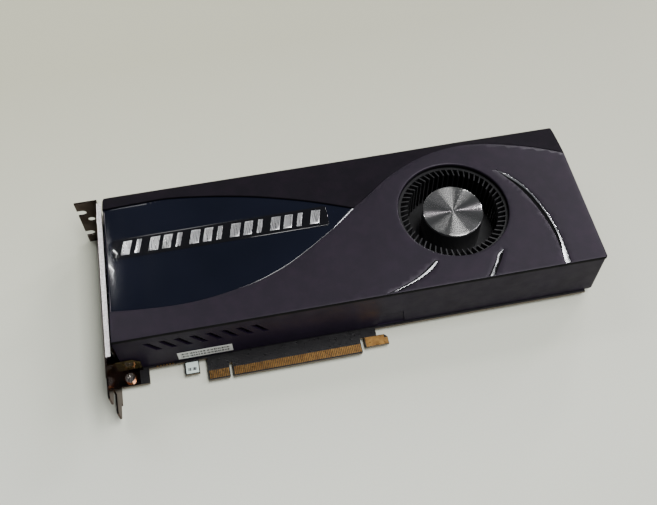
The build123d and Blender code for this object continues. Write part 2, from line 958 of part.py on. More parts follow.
def tip_band():
    """Sliver along the lower edge of the window's tip, widening towards the tip."""
    with BuildSketch() as outline:
        with BuildLine():
            Polyline((127.5, 60.1), (142.2, 73.7), (146.0, 74.0), (146.0, 70.0), (129.0, 58.0), close=True)
        make_face()
    return outline.sketch


with BuildPart() as shroud_window:
    with BuildSketch(level(window_floor)):
        add(window_outline(window_gap))
        add(tip_band(), mode=Mode.SUBTRACT)
    extrude(amount=window_top - window_floor)
save(shroud_window, "shroud_window")

with BuildPart() as trim_window:
    with BuildSketch(level(window_floor)):
        add(window_outline(window_gap))
        add(tip_band(), mode=Mode.INTERSECT)
    extrude(amount=trim_top - window_floor)
save(trim_window, "trim_window")

plate_top = 34.1
with BuildPart() as nameplate:
    with BuildSketch(level(window_top)):
        with BuildLine():
            Polyline(
                (9.2, 64.6),
                (126.8, 64.6),
                (128.0, 65.8),
                (128.0, 76.4),
                (126.8, 77.6),
                (9.2, 77.6),
                (8.0, 76.4),
                (8.0, 65.8),
                close=True,
            )
        make_face()
    extrude(amount=plate_top - window_top)
    chamfer(nameplate.faces().sort_by(Axis.Z)[-1].edges(), 0.25)
save(nameplate, "nameplate")

mark_count = 14
mark_pitch = 7.8
with BuildPart() as nameplate_marks:
    with BuildSketch(level(plate_top)):
        for mark in range(mark_count):
            left = 12.5 + mark * mark_pitch
            with BuildLine():
                Polyline((left, 67.0), (left + 3.6, 67.0), (left + 6.0, 75.0), (left + 2.4, 75.0), close=True)
            make_face()
    extrude(amount=0.2)
save(nameplate_marks, "nameplate_marks")

for name, (outer, inner) in trims.items():
    with BuildPart() as trim:
        with BuildSketch(level(trim_floor)):
            add(trim_outline(outer, inner))
        extrude(amount=trim_top - trim_floor)
    save(trim, name)

label_thickness = 0.12
with BuildPart() as wall_label:
    with BuildSketch(along(cover_near)):
        plate(34.0, 64.0, 3.0, 10.5)
    extrude(amount=label_thickness)
save(wall_label, "wall_label")

with BuildPart() as tab_label:
    with BuildSketch(level(0)):
        plate(37.0, 43.8, 6.0, 12.6)
    extrude(amount=label_thickness)
save(tab_label, "tab_label")

# ---------------------------------------------------------------- back of the board
back_height = -bracket_low - board_thickness
washer_height = 0.7
drive_depth = 0.9
back_part_height = 0.8

with BuildPart() as spring_washers:
    with BuildSketch(level(-board_thickness)):
        for x, y in cooler_holes:
            with Locations((x, y)):
                Circle(3.2)
                Circle(1.6, mode=Mode.SUBTRACT)
    extrude(amount=-washer_height)
save(spring_washers, "spring_washers")

with BuildPart() as spring_screws:
    for x, y in cooler_holes:
        with BuildSketch(level(-board_thickness - washer_height)):
            with Locations((x, y)):
                Circle(2.9)
        extrude(amount=-(back_height - washer_height))
        with BuildSketch(level(-board_thickness - washer_height)):
            with Locations((x, y)):
                Circle(1.4)
        extrude(amount=6.6)
        with BuildSketch(level(bracket_low)):
            with Locations((x, y)):
                Rectangle(3.4, 0.8)
                Rectangle(0.8, 3.4)
        extrude(amount=drive_depth, mode=Mode.SUBTRACT)
save(spring_screws, "spring_screws")

plate_screws = pan_screws(plate_screw_places, False, 2.1, 1.3, 1.0, 4.6, 1.0)
save(plate_screws, "plate_screws")
cover_screws = pan_screws(cover_post_places, False, 2.5, back_height, 1.0, 9.0, 1.2)
save(cover_screws, "cover_screws")

with BuildPart() as solder_side_parts:
    with BuildSketch(level(-board_thickness)):
        with Locations((gpu_x, gpu_y)):
            with GridLocations(5.2, 4.0, 6, 7):
                Rectangle(2.4, 1.3)
        with Locations((164, gpu_y)):
            with GridLocations(6.0, phase_pitch, 3, phase_count):
                Rectangle(3.2, 1.8)
        with Locations((40, 60)):
            with GridLocations(9.0, 8.0, 4, 7):
                Rectangle(1.8, 1.0)
        with Locations((232, 62)):
            with GridLocations(8.0, 9.0, 4, 6):
                Rectangle(2.2, 1.3)
    extrude(amount=-back_part_height)
save(solder_side_parts, "solder_side_parts")
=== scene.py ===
"""Studio scene of a two-slot graphics card with a radial blower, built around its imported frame.

Lengths in the shape code are card millimetres: x from the bracket's outer face along the board,
y from the tips of the edge connector, z from the board's component side. place() turns them into
the frame's metres.
"""
import json
import math

import bmesh
import bpy
import numpy as np
from mathutils import Matrix, Vector
from mathutils.geometry import delaunay_2d_cdt

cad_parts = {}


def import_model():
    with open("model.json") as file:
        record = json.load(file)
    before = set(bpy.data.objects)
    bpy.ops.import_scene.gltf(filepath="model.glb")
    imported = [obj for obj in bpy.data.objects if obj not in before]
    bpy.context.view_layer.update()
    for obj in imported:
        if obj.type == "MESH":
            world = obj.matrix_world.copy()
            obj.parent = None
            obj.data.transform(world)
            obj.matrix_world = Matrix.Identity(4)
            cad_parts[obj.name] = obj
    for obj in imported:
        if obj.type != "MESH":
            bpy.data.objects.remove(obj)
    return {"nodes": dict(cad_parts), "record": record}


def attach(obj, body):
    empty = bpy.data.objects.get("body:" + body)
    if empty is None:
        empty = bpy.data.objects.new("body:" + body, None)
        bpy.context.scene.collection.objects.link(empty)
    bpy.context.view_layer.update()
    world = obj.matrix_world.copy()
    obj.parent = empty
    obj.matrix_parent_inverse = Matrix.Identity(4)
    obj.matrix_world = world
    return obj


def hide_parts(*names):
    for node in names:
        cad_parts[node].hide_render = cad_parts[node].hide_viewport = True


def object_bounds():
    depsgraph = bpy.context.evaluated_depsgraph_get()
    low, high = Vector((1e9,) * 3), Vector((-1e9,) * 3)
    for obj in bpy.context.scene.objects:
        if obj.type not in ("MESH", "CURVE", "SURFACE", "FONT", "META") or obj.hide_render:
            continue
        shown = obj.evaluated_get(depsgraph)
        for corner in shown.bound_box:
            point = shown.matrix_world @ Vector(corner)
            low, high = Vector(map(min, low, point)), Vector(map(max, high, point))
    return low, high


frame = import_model()
cad_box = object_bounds()

MM = 0.001
NOISE_ROUGHNESS = 0.55
mounts = {mount["name"]: mount for mount in frame["record"]["mounts"]}

# The edge connector's mount lies in the middle of its tips, halfway through the board.
CONNECTOR_MIDDLE = Vector((91.4, 0.0, -0.785))
CARD = Vector(mounts["edge_connector"]["pos_m"]) - CONNECTOR_MIDDLE * MM

COVER_LEFT = 3.7
COVER_RIGHT = 272.0
COVER_NEAR = 14.2
COVER_FAR = 110.8
COVER_TOP = 34.7
COVER_FOOT = 0.6
FAR_EDGE_HEIGHT = 31.0
FAN = (198.2, 61.6)
INTAKE_RADIUS = 31.0


def place(x, y, z):
    """Card millimetres to metres in the frame."""
    return (CARD.x + x * MM, CARD.y + y * MM, CARD.z + z * MM)


# ------------------------------------------------------------------ materials
class Surface:
    """A principled material and a few helpers that wire procedural detail into it."""

    def __init__(self, name, color, roughness, metallic=0.0, **sockets):
        self.material = bpy.data.materials.new(name)
        self.material.use_nodes = True
        self.tree = self.material.node_tree
        self.shader = self.tree.nodes["Principled BSDF"]
        self.set("Base Color", (*color, 1.0))
        self.set("Roughness", roughness)
        self.set("Metallic", metallic)
        for socket, value in sockets.items():
            self.set(socket.replace("_", " "), value)
        self.coordinates = self.node("ShaderNodeTexCoord").outputs["Object"]
        self.height = None

    def set(self, socket, value):
        self.shader.inputs[socket].default_value = value

    def node(self, kind, **values):
        made = self.tree.nodes.new(kind)
        for key, value in values.items():
            setattr(made, key, value)
        return made

    def link(self, source, target):
        self.tree.links.new(source, target)

    def stretched(self, scale):
        """Object coordinates scaled unevenly, for grain that runs one way."""
        mapping = self.node("ShaderNodeMapping")
        mapping.inputs["Scale"].default_value = scale
        self.link(self.coordinates, mapping.inputs["Vector"])
        return mapping.outputs["Vector"]

    def noise(self, scale, detail=3.0, vector=None):
        made = self.node("ShaderNodeTexNoise")
        made.inputs["Scale"].default_value = scale
        made.inputs["Detail"].default_value = detail
        made.inputs["Roughness"].default_value = NOISE_ROUGHNESS
        self.link(vector or self.coordinates, made.inputs["Vector"])
        return made.outputs["Fac"]

    def remap(self, value, low, high, out_low, out_high):
        made = self.node("ShaderNodeMapRange")
        made.inputs["From Min"].default_value = low
        made.inputs["From Max"].default_value = high
        made.inputs["To Min"].default_value = out_low
        made.inputs["To Max"].default_value = out_high
        self.link(value, made.inputs["Value"])
        return made.outputs["Result"]

    def blend(self, factor, first, second):
        """Colour between two, each a plain colour or another output."""
        made = self.node("ShaderNodeMix", data_type="RGBA")
        self.link(factor, made.inputs["Factor"])
        for socket, value in ((made.inputs[6], first), (made.inputs[7], second)):
            if isinstance(value, tuple):
                socket.default_value = (*value, 1.0)
            else:
                self.link(value, socket)
        return made.outputs[2]

    def split(self, vector):
        """The X, Y and Z outputs of a vector."""
        made = self.node("ShaderNodeSeparateXYZ")
        self.link(vector, made.inputs["Vector"])
        return made.outputs

    def combine(self, operation, first, second):
        """Result of a sum in two values, such as MULTIPLY or MAXIMUM."""
        made = self.node("ShaderNodeMath", operation=operation)
        self.link(first, made.inputs[0])
        self.link(second, made.inputs[1])
        return made.outputs["Value"]

    def between(self, value, low, high, soft):
        """1 where a length in metres lies between two places and 0 outside them, with soft ends."""
        rising = self.remap(value, low - soft, low + soft, 0.0, 1.0)
        falling = self.remap(value, high - soft, high + soft, 1.0, 0.0)
        return self.combine("MULTIPLY", rising, falling)

    def within(self, low, high, soft=0.15):
        """1 inside a box between two corners in card millimetres and 0 outside it, with soft sides."""
        axes = self.split(self.coordinates)
        sides = [
            self.between(axes[axis], first, last, soft * MM)
            for axis, first, last in zip("XYZ", place(*low), place(*high))
        ]
        return self.combine("MULTIPLY", self.combine("MULTIPLY", sides[0], sides[1]), sides[2])

    def near(self, centre, radius, soft=0.1):
        """1 close to a place in card millimetres and 0 beyond the radius."""
        made = self.node("ShaderNodeVectorMath", operation="DISTANCE")
        self.link(self.coordinates, made.inputs[0])
        made.inputs[1].default_value = place(*centre)
        return self.remap(made.outputs["Value"], (radius - soft) * MM, (radius + soft) * MM, 1.0, 0.0)

    def colour(self, output):
        self.link(output, self.shader.inputs["Base Color"])

    def gloss(self, output):
        self.link(output, self.shader.inputs["Roughness"])

    def bump(self, output, depth):
        """Adds relief of a depth in millimetres on top of any relief added before."""
        made = self.node("ShaderNodeBump")
        made.inputs["Strength"].default_value = 1.0
        made.inputs["Distance"].default_value = depth * MM
        self.link(output, made.inputs["Height"])
        if self.height:
            self.link(self.height, made.inputs["Normal"])
        self.height = made.outputs["Normal"]
        self.link(self.height, self.shader.inputs["Normal"])


def speckled_plastic(name, dark, light, roughness, fleck=0.35, level=0.5):
    """Painted moulding with a fine metallic fleck and a slight unevenness of tone."""
    made = Surface(name, light, roughness, Specular_IOR_Level=level)
    grain = made.remap(made.noise(4200, 2.0), 0.35, 0.68, 0.0, 1.0)
    tone = made.blend(grain, dark, light)
    clouds = made.remap(made.noise(38, 3.0), 0.3, 0.7, 0.0, 0.35)
    tone = made.blend(clouds, tone, tuple(0.82 * c for c in dark))
    warmth = made.remap(made.noise(150, 3.0), 0.42, 0.68, 0.0, 0.32)
    made.colour(made.blend(warmth, tone, (1.25 * light[0], light[1], 1.10 * light[2])))
    made.gloss(made.remap(made.noise(2600, 2.0), 0.3, 0.7, roughness - 0.07, roughness + 0.07))
    made.set("Metallic", fleck)
    made.bump(made.noise(5200, 2.0), 0.012)
    made.bump(made.noise(900, 2.0), 0.006)
    return made.material


def satin_plastic(name, color, roughness, level=0.5):
    """Plain moulding with fine spark-eroded grain and faint handling marks."""
    made = Surface(name, color, roughness, Specular_IOR_Level=level)
    patches = made.remap(made.noise(60, 4.0), 0.3, 0.7, 0.0, 1.0)
    made.colour(made.blend(patches, tuple(0.8 * c for c in color), tuple(min(1, 1.18 * c) for c in color)))
    made.gloss(made.remap(made.noise(140, 4.0), 0.3, 0.7, roughness - 0.06, roughness + 0.08))
    made.bump(made.noise(4800, 2.0), 0.01)
    return made.material


def gloss_plastic(name, color, deep):
    """Clear-coated dark panel whose tone deepens unevenly, with faint wiping marks."""
    made = Surface(name, color, 0.09, Coat_Weight=0.6, Coat_Roughness=0.04)
    drift = made.remap(made.noise(16, 2.0), 0.35, 0.65, 0.0, 1.0)
    made.colour(made.blend(drift, deep, color))
    wipe = made.noise(70, 3.0, vector=made.stretched((1.0, 0.25, 1.0)))
    made.gloss(made.remap(wipe, 0.3, 0.7, 0.06, 0.12))
    made.bump(made.noise(24, 2.0), 0.02)
    return made.material


def brushed_metal(name, color, roughness, along=(1.0, 0.03, 0.03)):
    """Rolled or ground metal with grain along one axis and soft staining."""
    made = Surface(name, color, roughness, metallic=1.0)
    lines = made.noise(2600, 3.0, vector=made.stretched(along))
    stains = made.remap(made.noise(90, 4.0), 0.35, 0.65, 0.0, 1.0)
    made.colour(made.blend(stains, color, tuple(0.72 * c for c in color)))
    made.gloss(made.remap(lines, 0.3, 0.7, roughness - 0.08, roughness + 0.12))
    made.bump(lines, 0.004)
    return made.material


def chrome(name):
    """Bright plating with the slight ripple of a moulded part."""
    made = Surface(name, (0.86, 0.87, 0.9), 0.12, metallic=1.0)
    made.colour(made.blend(made.noise(120, 2.0), (0.8, 0.81, 0.84), (0.92, 0.92, 0.94)))
    made.gloss(made.remap(made.noise(400, 2.0), 0.3, 0.7, 0.14, 0.24))
    made.bump(made.noise(160, 2.0), 0.002)
    return made.material


def turned_metal(name, centre):
    """Disc turned in fine rings, which spread each light into a pair of wedges across the disc."""
    made = Surface(name, (0.62, 0.61, 0.59), 0.17, metallic=1.0)
    mapping = made.node("ShaderNodeMapping")
    mapping.inputs["Location"].default_value = (-centre[0], -centre[1], 0)
    made.link(made.coordinates, mapping.inputs["Vector"])
    axes = made.split(mapping.outputs["Vector"])
    flat = made.node("ShaderNodeCombineXYZ")
    made.link(axes["X"], flat.inputs["X"])
    made.link(axes["Y"], flat.inputs["Y"])
    radius = made.node("ShaderNodeVectorMath", operation="LENGTH")
    made.link(flat.outputs["Vector"], radius.inputs[0])
    ring = made.node("ShaderNodeCombineXYZ")
    made.link(radius.outputs["Value"], ring.inputs["X"])
    ring_lines = made.noise(5200.0, 3.0, vector=ring.outputs["Vector"])
    made.bump(ring_lines, 0.0003)
    made.colour(made.blend(ring_lines, (0.460, 0.455, 0.446), (0.550, 0.543, 0.533)))
    made.set("Anisotropic", 1.0)
    made.set("Anisotropic Rotation", 0.25)
    around = made.node("ShaderNodeTangent", direction_type="RADIAL", axis="Z")
    made.link(around.outputs["Tangent"], made.shader.inputs["Tangent"])
    return made.material


def bracket_plating(name):
    """Black nickel over steel, darker under stains, with a copper tone on the washer ring and a lighter
    grey-purple tone on the screw tab.

    The near-white lip is a painted reflection on the same plating, standing in for the light it reflects;
    the olive low flange, made mostly non-metallic, is a painted reflection of the table. The pale lip is
    a guess: in the photo it may be the same plating reflecting a window.
    """
    made = Surface(name, (0.3, 0.27, 0.25), 0.25, metallic=1.0, Specular_Tint=(0.4, 0.37, 0.36, 1.0))
    # painted reflection: the lip mask carries a near-white colour standing in for light reflected off the
    # lip
    lip = made.within((0.7, 7.0, 32.0), (5, 104.2, 36))
    screw_tab = made.within((-13, 109.5, -6), (3, 113, 36))
    # painted reflection: the flange mask carries an olive, mostly non-metallic tone standing in for the
    # table reflected in the flange
    flange = made.within((1.2, 12.0, 3.0), (16, 14.5, 14))
    washer = made.near((7, 8.6, 0.8), 3.5)
    stains = made.remap(made.noise(70, 3.0), 0.35, 0.65, 0.0, 1.0)
    scuffs = made.remap(made.noise(900, 4.0), 0.3, 0.7, 0.0, 1.0)
    coarse = made.remap(made.noise(420, 4.0), 0.35, 0.65, 0.0, 1.0)
    tone = made.blend(stains, (0.115, 0.092, 0.085), (0.05, 0.038, 0.034))
    tone = made.blend(screw_tab, tone, made.blend(stains, (0.34, 0.29, 0.30), (0.27, 0.23, 0.24)))
    # painted reflection of the table on the low flange
    tone = made.blend(flange, tone, made.blend(coarse, (0.062, 0.048, 0.018), (0.030, 0.024, 0.011)))
    tone = made.blend(washer, tone, made.blend(coarse, (0.50, 0.22, 0.10), (0.16, 0.07, 0.035)))
    # painted reflection: near-white lip, varied by scuffs
    made.colour(made.blend(lip, tone, made.blend(scuffs, (0.92, 0.90, 0.89), (0.62, 0.57, 0.58))))
    # the flange drops to low metallic so that its painted reflection shows as diffuse colour
    made.link(made.remap(flange, 0.0, 1.0, 1.0, 0.2), made.shader.inputs["Metallic"])
    made.gloss(made.remap(lip, 0.0, 1.0, 0.14, 0.38))
    made.bump(scuffs, 0.004)
    return made.material


def circuit_board(name):
    """Solder resist over fine copper tracks, with bare brown laminate on the cut edges."""
    made = Surface(name, (0.012, 0.012, 0.014), 0.32, Specular_IOR_Level=0.4)
    tracks = made.node("ShaderNodeTexBrick")
    tracks.inputs["Scale"].default_value = 260
    tracks.inputs["Mortar Size"].default_value = 0.02
    tracks.inputs["Color1"].default_value = (0, 0, 0, 1)
    tracks.inputs["Color2"].default_value = (0.3, 0.3, 0.3, 1)
    tracks.inputs["Mortar"].default_value = (1, 1, 1, 1)
    made.link(made.coordinates, tracks.inputs["Vector"])
    resist = made.blend(tracks.outputs["Color"], (0.004, 0.0038, 0.0045), (0.009, 0.0082, 0.0092))
    fibres = made.noise(2200, 3.0, vector=made.stretched((0.2, 0.2, 3.0)))
    laminate = made.blend(fibres, (0.055, 0.036, 0.018), (0.14, 0.095, 0.045))
    facing = made.split(made.node("ShaderNodeTexCoord").outputs["Normal"])
    upright = made.node("ShaderNodeMath", operation="ABSOLUTE")
    made.link(facing["Z"], upright.inputs[0])
    made.colour(made.blend(made.remap(upright.outputs["Value"], 0.4, 0.6, 0.0, 1.0), laminate, resist))
    made.bump(tracks.outputs["Color"], 0.02)
    made.gloss(made.remap(made.noise(500, 3.0), 0.3, 0.7, 0.26, 0.42))
    return made.material


def gold_plate(name):
    """Worn gold plating over copper."""
    made = Surface(name, (0.78, 0.5, 0.22), 0.34, metallic=1.0)
    wear = made.remap(made.noise(260, 4.0), 0.35, 0.7, 0.0, 1.0)
    made.colour(made.blend(wear, (0.40, 0.22, 0.065), (0.26, 0.135, 0.045)))
    made.gloss(made.remap(made.noise(900, 3.0), 0.3, 0.7, 0.26, 0.48))
    made.bump(made.noise(2400, 2.0), 0.006)
    return made.material


def printed_paper(name, color, corner, across, up, rows):
    """Label stock with rows of broken dark dashes, a generic pattern in place of print.

    corner is the label's low corner in metres, across and up say which coordinates run along it,
    and rows are (low, high, first, last) in millimetres from that corner.
    """
    made = Surface(name, color, 0.55)
    stock = made.blend(made.noise(1500, 4.0), color, tuple(0.88 * c for c in color))
    axes = made.split(made.coordinates)
    along, height = axes[across], axes[up]
    start, foot = corner["XYZ".index(across)], corner["XYZ".index(up)]
    line = made.node("ShaderNodeCombineXYZ")
    made.link(along, line.inputs["X"])
    dashes = made.remap(made.noise(1900.0, 1.0, vector=line.outputs["Vector"]), 0.47, 0.49, 0.0, 1.0)
    soft = 0.05 * MM
    printed = None
    for low, high, first, last in rows:
        row = made.between(height, foot + low * MM, foot + high * MM, soft)
        length = made.between(along, start + first * MM, start + last * MM, soft)
        inked = made.combine("MULTIPLY", dashes, made.combine("MULTIPLY", row, length))
        printed = made.combine("MAXIMUM", printed, inked) if printed else inked
    made.colour(made.blend(printed, stock, (0.03, 0.03, 0.035)))
    made.bump(made.noise(3000, 3.0), 0.01)
    return made.material


def table_top(name):
    """Pale, very slightly mottled laminate, graded to offset the fall-off of the lights across it."""
    made = Surface(name, (0.6, 0.6, 0.57), 0.6)
    fine = made.remap(made.noise(900, 3.0), 0.35, 0.65, 0.0, 1.0)
    axes = made.split(made.coordinates)
    far = made.remap(axes["Y"], -0.1, 0.2, 0.0, 1.0)
    right = made.remap(axes["X"], -0.2, 0.22, 0.0, 1.0)
    near_tone = made.blend(right, (0.785, 0.81, 0.705), (0.61, 0.628, 0.53))
    far_tone = made.blend(right, (0.580, 0.580, 0.425), (0.44, 0.44, 0.335))
    tone = made.blend(far, near_tone, far_tone)
    mottled = made.node("ShaderNodeMix", data_type="RGBA", blend_type="MULTIPLY")
    mottled.inputs["Factor"].default_value = 1.0
    made.link(tone, mottled.inputs[6])
    made.link(made.blend(fine, (0.975, 0.975, 0.975), (1.0, 1.0, 1.0)), mottled.inputs[7])
    made.colour(mottled.outputs[2])
    made.bump(made.noise(1400, 2.0), 0.03)
    return made.material


cover_paint = speckled_plastic(
    "cover_paint", (0.0090, 0.0066, 0.0114), (0.0212, 0.0158, 0.0268), 0.42, level=0.3
)
# painted shade: the far strip is given a darker paint than the body, standing in for the shade on its slope
# away from the lights
strip_shade_paint = speckled_plastic(
    "strip_shade_paint", (0.0058, 0.0049, 0.0068), (0.0116, 0.0100, 0.0138), 0.6, fleck=0.0, level=0.03
)
wall_plastic = satin_plastic("wall_plastic", (0.0122, 0.0080, 0.0185), 0.42, level=0.08)
# painted shade: near-black, barely reflective plastic for the walls down into the openings, the floors of
# the trim grooves and window seat, and the near rounded edge of the top, darker than the walls around them
shade_plastic = satin_plastic("shade_plastic", (0.003, 0.003, 0.0035), 0.6, level=0.08)
window_gloss = gloss_plastic("window_gloss", (0.004, 0.005, 0.012), (0.002, 0.003, 0.008))
plate_gloss = gloss_plastic("plate_gloss", (0.004, 0.004, 0.006), (0.003, 0.003, 0.004))
silver_print = brushed_metal("silver_print", (0.86, 0.86, 0.87), 0.28)
trim_chrome = chrome("trim_chrome")
hub_metal = turned_metal("hub_metal", place(*FAN, 0))
black_moulding = satin_plastic("black_moulding", (0.008, 0.008, 0.009), 0.42)
impeller_plastic = satin_plastic("impeller_plastic", (0.012, 0.012, 0.013), 0.34)
board_resist = circuit_board("board_resist")
contact_gold = gold_plate("contact_gold")
bracket_nickel = bracket_plating("bracket_nickel")
socket_nickel = brushed_metal("socket_nickel", (0.56, 0.54, 0.5), 0.25)
screw_nickel = brushed_metal("screw_nickel", (0.66, 0.64, 0.62), 0.22)
fin_metal = brushed_metal("fin_metal", (0.7, 0.71, 0.73), 0.34)
copper_metal = brushed_metal("copper_metal", (0.72, 0.36, 0.24), 0.3)
dark_anodised = brushed_metal("dark_anodised", (0.05, 0.05, 0.055), 0.45)
chip_epoxy = satin_plastic("chip_epoxy", (0.018, 0.018, 0.02), 0.5)
WALL_LABEL_CORNER = place(34.0, 14.0, 3.0)
WALL_LABEL_ROWS = [(1.3, 3.1, 1.8, 28.6), (4.3, 6.1, 1.8, 28.6)]
label_white = printed_paper("label_white", (0.66, 0.67, 0.65), WALL_LABEL_CORNER, "X", "Z", WALL_LABEL_ROWS)
TAB_LABEL_CORNER = place(37.0, 6.0, 0.1)
TAB_LABEL_ROWS = [(1.5, 3.3, 1.0, 5.8)]
label_mint = printed_paper("label_mint", (0.66, 0.78, 0.72), TAB_LABEL_CORNER, "X", "Y", TAB_LABEL_ROWS)
white_plastic = satin_plastic("white_plastic", (0.7, 0.68, 0.6), 0.4)
silicon = brushed_metal("silicon_die", (0.3, 0.32, 0.38), 0.1)
laminate_green = satin_plastic("laminate_green", (0.02, 0.09, 0.04), 0.4)
pad_silicone = satin_plastic("pad_silicone", (0.4, 0.46, 0.55), 0.7)
ferrite = satin_plastic("ferrite", (0.08, 0.08, 0.085), 0.55)
sintered = satin_plastic("sintered", (0.06, 0.06, 0.06), 0.5)
bearing_bronze = brushed_metal("bearing_bronze", (0.5, 0.34, 0.16), 0.4)
winding_copper = brushed_metal("winding_copper", (0.6, 0.26, 0.1), 0.35, (0.05, 0.05, 1.0))
spring_metal = brushed_metal("spring_metal", (0.5, 0.5, 0.52), 0.3)

CAD_FINISHES = {
    "pcb": board_resist,
    "edge_contacts": contact_gold,
    "bridge_contacts": contact_gold,
    "io_bracket": bracket_nickel,
    "bracket_screws": screw_nickel,
    "display_socket_shells": socket_nickel,
    "av_socket_shell": socket_nickel,
    "display_socket_tongues": black_moulding,
    "av_socket_tongue": black_moulding,
    "socket_bases": black_moulding,
    "gpu_substrate": laminate_green,
    "gpu_die": silicon,
    "memory_chips": chip_epoxy,
    "power_stages": chip_epoxy,
    "solder_side_parts": chip_epoxy,
    "thermal_pads": pad_silicone,
    "inductors": ferrite,
    "capacitors": socket_nickel,
    "fan_header": white_plastic,
    "power_socket_8pin": black_moulding,
    "power_socket_6pin": black_moulding,
    "power_pins": contact_gold,
    "base_plate": dark_anodised,
    "vapor_chamber": copper_metal,
    "fin_stack": fin_metal,
    "motor_base": dark_anodised,
    "motor_screws": screw_nickel,
    "bearing_sleeve": bearing_bronze,
    "stator": winding_copper,
    "shaft": screw_nickel,
    "rotor_cup": spring_metal,
    "magnet_ring": sintered,
    "impeller": impeller_plastic,
    "blower_scroll": black_moulding,
    "hub_disc": hub_metal,
    "shroud": cover_paint,
    "shroud_window": window_gloss,
    "nameplate": plate_gloss,
    "nameplate_marks": silver_print,
    "trim_long": trim_chrome,
    "trim_mid": trim_chrome,
    "trim_short": trim_chrome,
    "trim_window": trim_chrome,
    "wall_label": label_white,
    "tab_label": label_mint,
    "spring_washers": spring_metal,
    "spring_screws": screw_nickel,
    "plate_screws": screw_nickel,
    "cover_screws": screw_nickel,
}
for name, finish in CAD_FINISHES.items():
    node = frame["nodes"][name]
    for material_slot in node.material_slots:
        material_slot.material = finish


# ------------------------------------------------------------------ shape tools
def smooth(points, steps=8):
    """Catmull-Rom curve through the points, as an array."""
    given = np.array(points, float)
    given = np.vstack([2 * given[0] - given[1], given, 2 * given[-1] - given[-2]])
    out = []
    for i in range(1, len(given) - 2):
        a, b, c, d = given[i - 1], given[i], given[i + 1], given[i + 2]
        for t in np.linspace(0, 1, steps, endpoint=False):
            square = (2 * a - 5 * b + 4 * c - d) * t**2
            cube = (3 * b - a - 3 * c + d) * t**3
            out.append(0.5 * (2 * b + (c - a) * t + square + cube))
    out.append(given[-2])
    return np.array(out)


def circle(centre, radius, count):
    turn = np.linspace(0, 2 * math.pi, count, endpoint=False)
    return np.c_[centre[0] + radius * np.cos(turn), centre[1] + radius * np.sin(turn)]


def inside(points, loop):
    """Which points lie inside a closed loop."""
    x, y = points[:, 0][:, None], points[:, 1][:, None]
    x1, y1 = loop[:, 0], loop[:, 1]
    x2, y2 = np.roll(x1, -1), np.roll(y1, -1)
    rise = np.where(y2 == y1, 1e-12, y2 - y1)
    crosses = ((y1 > y) != (y2 > y)) & (x < (x2 - x1) * (y - y1) / rise + x1)
    return crosses.sum(1) % 2 == 1


def distance(points, line, closed=True):
    """Distance from each point to a polyline."""
    ends = np.roll(line, -1, 0) if closed else line[1:]
    starts = line if closed else line[:-1]
    best = np.full(len(points), 1e9)
    for start, end in zip(starts, ends):
        edge = end - start
        length = max((edge**2).sum(), 1e-12)
        t = np.clip(((points - start) @ edge) / length, 0, 1)
        best = np.minimum(best, np.hypot(*(points - start - t[:, None] * edge).T))
    return best


def shifted(loop, amount):
    """Closed loop moved sideways: positive amounts shrink a loop that runs anticlockwise."""
    ahead = np.roll(loop, -1, 0) - np.roll(loop, 1, 0)
    normal = np.c_[-ahead[:, 1], ahead[:, 0]] / np.maximum(np.hypot(*ahead.T), 1e-9)[:, None]
    area = 0.5 * np.sum(loop[:, 0] * np.roll(loop[:, 1], -1) - np.roll(loop[:, 0], -1) * loop[:, 1])
    return loop + normal * amount * (1 if area > 0 else -1)


def sheet(outer, holes=(), rings=(), lines=(), spacing=4.0, margin=1.2):
    """Triangles over a flat region with holes. Rings and lines are edges the triangles must follow."""
    points, edges = [], []

    def add(line, closed):
        first = len(points)
        points.extend(Vector(p) for p in line)
        edges.extend((first + i, first + i + 1) for i in range(len(line) - 1))
        if closed:
            edges.append((first + len(line) - 1, first))

    for loop in (outer, *holes, *rings):
        add(loop, True)
    for line in lines:
        add(line, False)
    low, high = outer.min(0), outer.max(0)
    rows = np.arange(low[1] + spacing / 2, high[1], spacing * 0.866)
    grid = []
    for i, row in enumerate(rows):
        xs = np.arange(low[0] + spacing * (0.5 + 0.5 * (i % 2)), high[0], spacing)
        grid.append(np.c_[xs, np.full(len(xs), row)])
    grid = np.vstack(grid)
    grid = grid[inside(grid, outer)]
    for loop in (outer, *holes, *rings):
        grid = grid[distance(grid, loop) > margin]
    for line in lines:
        grid = grid[distance(grid, line, False) > margin * 0.6]
    points.extend(Vector(p) for p in grid)
    verts, _, faces, *_ = delaunay_2d_cdt(points, edges, [], 0, 1e-4)
    verts = np.array([(v.x, v.y) for v in verts])
    faces = np.array([f for f in faces if len(f) == 3])
    middle = verts[faces].mean(1)
    keep = inside(middle, outer)
    for hole in holes:
        keep &= ~inside(middle, hole)
    return verts, faces[keep]


def rim(faces):
    """Edges that only one triangle uses, in the direction that triangle gives them."""
    seen = {}
    for a, b, c in faces:
        for edge in ((a, b), (b, c), (c, a)):
            seen[edge] = True
    return [edge for edge in seen if (edge[1], edge[0]) not in seen]


def rounded(gap, radius):
    """How far an edge of this radius has dropped at a given distance in from it."""
    inward = np.clip(1 - gap / radius, 0, 1)
    return radius * (1 - np.sqrt(np.clip(1 - inward**2, 0, 1)))


def make_piece(name, verts, faces, materials, body="card", choice=None, sharp=32):
    """Mesh object from card millimetres, shaded smooth except at sharp edges."""
    mesh = bpy.data.meshes.new(name)
    mesh.from_pydata([place(*v) for v in verts], [], [tuple(int(i) for i in f) for f in faces])
    for material in materials:
        mesh.materials.append(material)
    if choice is not None:
        mesh.polygons.foreach_set("material_index", np.asarray(choice, dtype=np.int32))
    mesh.update()
    mesh.polygons.foreach_set("use_smooth", np.ones(len(mesh.polygons), dtype=bool))
    mesh.set_sharp_from_angle(angle=math.radians(sharp))
    made = bpy.data.objects.new(name, mesh)
    bpy.context.scene.collection.objects.link(made)
    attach(made, body)
    return made


